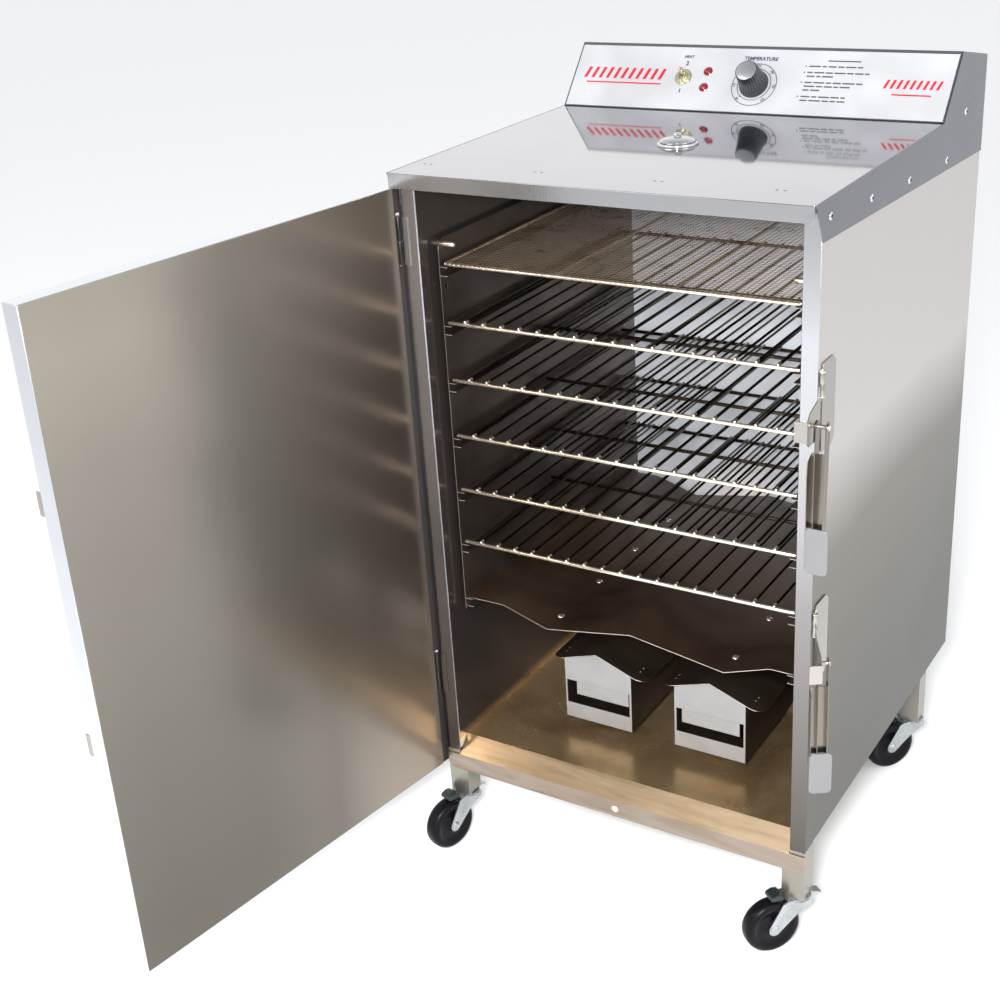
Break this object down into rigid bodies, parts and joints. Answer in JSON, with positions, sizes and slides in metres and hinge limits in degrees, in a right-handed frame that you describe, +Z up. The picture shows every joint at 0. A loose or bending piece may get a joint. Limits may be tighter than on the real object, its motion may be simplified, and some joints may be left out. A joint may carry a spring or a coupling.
{
  "type": "electric cabinet smoker",
  "caption": "Stainless electric smoker cabinet on casters, with a hinged door, sliding racks, a drip baffle, wood boxes and a sloped control console.",
  "frame": {"origin": "on the floor, under the middle of the whole object's box with its door open as stored", "axes": "+X to the right seen from the front, +Y from the front to the back, +Z up"},
  "size_m": [0.6803, 1.1231, 1.051],
  "materials": {
    "brushed_stainless": "brushed",
    "bright_stainless": "polished",
    "smoked_stainless": "heat-tinted",
    "insulation": "fibrous",
    "zinc_plate": "zinc plated",
    "black_wheel": "satin",
    "wire": "bright",
    "white_panel": "satin",
    "black_moulding": "gloss",
    "brass": "polished",
    "red_lens": "gloss"
  },
  "bodies": {
    "cabinet": {"outer_shell": "brushed_stainless", "front_frame": "bright_stainless", "inner_liner": "smoked_stainless", "insulation_jacket": "insulation", "top_cover": "bright_stainless", "drip_sill": "smoked_stainless", "base_with_legs": "brushed_stainless", "cheek_left": "brushed_stainless", "cheek_right": "brushed_stainless", "console_housing": "brushed_stainless", "control_panel": "white_panel", "thermostat_body": "black_moulding", "toggle_switch_body": "brass", "indicator_lamp_upper": "red_lens", "indicator_lamp_lower": "red_lens", "cord_gland": "black_moulding", "vent_collar": "bright_stainless", "hinge_upper_frame_leaf": "bright_stainless", "hinge_lower_frame_leaf": "bright_stainless", "latch_upper_base": "bright_stainless", "latch_lower_base": "bright_stainless", "rack_ladder_left": "smoked_stainless", "rack_ladder_right": "smoked_stainless", "heating_element_left": "smoked_stainless", "heating_element_right": "smoked_stainless"},
    "door": {"door_pan": "brushed_stainless", "door_inner_panel": "brushed_stainless", "door_insulation": "insulation", "hinge_upper_door_leaf": "bright_stainless", "hinge_lower_door_leaf": "bright_stainless", "strike_upper": "bright_stainless", "strike_lower": "bright_stainless"},
    "mesh_rack": {"mesh_rack": "wire"},
    "wire_rack_1": {"wire_rack_1": "wire"},
    "wire_rack_2": {"wire_rack_2": "wire"},
    "wire_rack_3": {"wire_rack_3": "wire"},
    "wire_rack_4": {"wire_rack_4": "wire"},
    "wire_rack_5": {"wire_rack_5": "wire"},
    "drip_baffle": {"drip_baffle": "smoked_stainless"},
    "wood_box_left": {"wood_box_left": "smoked_stainless"},
    "wood_box_lid_left": {"wood_box_lid_left": "smoked_stainless"},
    "wood_box_right": {"wood_box_right": "smoked_stainless"},
    "wood_box_lid_right": {"wood_box_lid_right": "smoked_stainless"},
    "vent_cap": {"vent_cap": "bright_stainless"},
    "thermostat_knob": {"thermostat_knob": "black_moulding"},
    "toggle_lever": {"toggle_lever": "brass"},
    "latch_upper_link": {"latch_upper_link": "bright_stainless"},
    "latch_upper_lever": {"latch_upper_lever": "bright_stainless"},
    "latch_lower_link": {"latch_lower_link": "bright_stainless"},
    "latch_lower_lever": {"latch_lower_lever": "bright_stainless"},
    "caster_front_left": {"caster_front_left_fork": "zinc_plate"},
    "wheel_front_left": {"caster_front_left_wheel": "black_wheel"},
    "brake_front_left": {"caster_front_left_brake": "zinc_plate"},
    "caster_front_right": {"caster_front_right_fork": "zinc_plate"},
    "wheel_front_right": {"caster_front_right_wheel": "black_wheel"},
    "brake_front_right": {"caster_front_right_brake": "zinc_plate"},
    "caster_rear_left": {"caster_rear_left_fork": "zinc_plate"},
    "wheel_rear_left": {"caster_rear_left_wheel": "black_wheel"},
    "caster_rear_right": {"caster_rear_right_fork": "zinc_plate"},
    "wheel_rear_right": {"caster_rear_right_wheel": "black_wheel"}
  },
  "joints": [
    {"name": "door_hinge", "type": "hinge", "parent": "cabinet", "child": "door", "pos_m": [-0.23009, -0.03504, 0.539], "axis": [0, 0, -1], "range_deg": [-98.3, 80]},
    {"name": "mesh_rack_slide", "type": "slide", "parent": "cabinet", "child": "mesh_rack", "axis": [0, -1, 0], "range_m": [0, 0.4]},
    {"name": "wire_rack_1_slide", "type": "slide", "parent": "cabinet", "child": "wire_rack_1", "axis": [0, -1, 0], "range_m": [0, 0.4]},
    {"name": "wire_rack_2_slide", "type": "slide", "parent": "cabinet", "child": "wire_rack_2", "axis": [0, -1, 0], "range_m": [0, 0.4]},
    {"name": "wire_rack_3_slide", "type": "slide", "parent": "cabinet", "child": "wire_rack_3", "axis": [0, -1, 0], "range_m": [0, 0.4]},
    {"name": "wire_rack_4_slide", "type": "slide", "parent": "cabinet", "child": "wire_rack_4", "axis": [0, -1, 0], "range_m": [0, 0.4]},
    {"name": "wire_rack_5_slide", "type": "slide", "parent": "cabinet", "child": "wire_rack_5", "axis": [0, -1, 0], "range_m": [0, 0.4]},
    {"name": "drip_baffle_slide", "type": "slide", "parent": "cabinet", "child": "drip_baffle", "axis": [0, -1, 0], "range_m": [0, 0.4]},
    {"name": "wood_box_left_slide", "type": "slide", "parent": "cabinet", "child": "wood_box_left", "axis": [0, -1, 0], "range_m": [0, 0.3]},
    {"name": "wood_box_lid_left_lift", "type": "slide", "parent": "wood_box_left", "child": "wood_box_lid_left", "axis": [0, 0, 1], "range_m": [0, 0.045]},
    {"name": "wood_box_right_slide", "type": "slide", "parent": "cabinet", "child": "wood_box_right", "axis": [0, -1, 0], "range_m": [0, 0.3]},
    {"name": "wood_box_lid_right_lift", "type": "slide", "parent": "wood_box_right", "child": "wood_box_lid_right", "axis": [0, 0, 1], "range_m": [0, 0.045]},
    {"name": "vent_cap_lift", "type": "slide", "parent": "cabinet", "child": "vent_cap", "axis": [0, 0, 1], "range_m": [0, 0.02]},
    {"name": "knob_turn", "type": "hinge", "parent": "cabinet", "child": "thermostat_knob", "pos_m": [0.04591, 0.40196, 1.01047], "axis": [0, -0.76, 0.65], "range_deg": [0, 280]},
    {"name": "toggle_flip", "type": "hinge", "parent": "cabinet", "child": "toggle_lever", "pos_m": [-0.05809, 0.40704, 1.01533], "axis": [1, 0, 0], "range_deg": [0, 24]},
    {"name": "latch_upper_swing", "type": "hinge", "parent": "cabinet", "child": "latch_upper_link", "pos_m": [0.31101, -0.03004, 0.776], "axis": [0, 0, 1], "range_deg": [0, 110]},
    {"name": "latch_upper_lever_lift", "type": "hinge", "parent": "latch_upper_link", "child": "latch_upper_lever", "pos_m": [0.31101, -0.04404, 0.7325], "axis": [-1, 0, 0], "range_deg": [0, 110]},
    {"name": "latch_lower_swing", "type": "hinge", "parent": "cabinet", "child": "latch_lower_link", "pos_m": [0.31101, -0.03004, 0.479], "axis": [0, 0, 1], "range_deg": [-33, 77]},
    {"name": "latch_lower_lever_lift", "type": "hinge", "parent": "latch_lower_link", "child": "latch_lower_lever", "pos_m": [0.31863, -0.04178, 0.4355], "axis": [-0.8387, -0.5446, 0], "range_deg": [0, 110]},
    {"name": "caster_front_left_swivel", "type": "hinge", "parent": "cabinet", "child": "caster_front_left", "pos_m": [-0.21109, -0.01654, 0.077], "axis": [0, 0, 1], "continuous": true},
    {"name": "caster_front_left_roll", "type": "hinge", "parent": "caster_front_left", "child": "wheel_front_left", "pos_m": [-0.22067, -0.05228, 0.03777], "axis": [0.9659, -0.2588, 0], "continuous": true},
    {"name": "caster_front_left_brake_press", "type": "hinge", "parent": "caster_front_left", "child": "brake_front_left", "pos_m": [-0.20617, 0.00182, 0.0762], "axis": [-0.9659, 0.2588, 0], "range_deg": [0, 20]},
    {"name": "caster_front_right_swivel", "type": "hinge", "parent": "cabinet", "child": "caster_front_right", "pos_m": [0.29191, -0.01654, 0.077], "axis": [0, 0, 1], "continuous": true},
    {"name": "caster_front_right_roll", "type": "hinge", "parent": "caster_front_right", "child": "wheel_front_right", "pos_m": [0.26813, -0.04488, 0.03777], "axis": [0.766, -0.6428, 0], "continuous": true},
    {"name": "caster_front_right_brake_press", "type": "hinge", "parent": "caster_front_right", "child": "brake_front_right", "pos_m": [0.30412, -0.00198, 0.0762], "axis": [-0.766, 0.6428, 0], "range_deg": [0, 20]},
    {"name": "caster_rear_left_swivel", "type": "hinge", "parent": "cabinet", "child": "caster_rear_left", "pos_m": [-0.21109, 0.44346, 0.077], "axis": [0, 0, 1], "continuous": true},
    {"name": "caster_rear_left_roll", "type": "hinge", "parent": "caster_rear_left", "child": "wheel_rear_left", "pos_m": [-0.23231, 0.41315, 0.03777], "axis": [0.8192, -0.5736, 0], "continuous": true},
    {"name": "caster_rear_right_swivel", "type": "hinge", "parent": "cabinet", "child": "caster_rear_right", "pos_m": [0.29191, 0.44346, 0.077], "axis": [0, 0, 1], "continuous": true},
    {"name": "caster_rear_right_roll", "type": "hinge", "parent": "caster_rear_right", "child": "wheel_rear_right", "pos_m": [0.26813, 0.41512, 0.03777], "axis": [0.766, -0.6428, 0], "continuous": true}
  ]
}
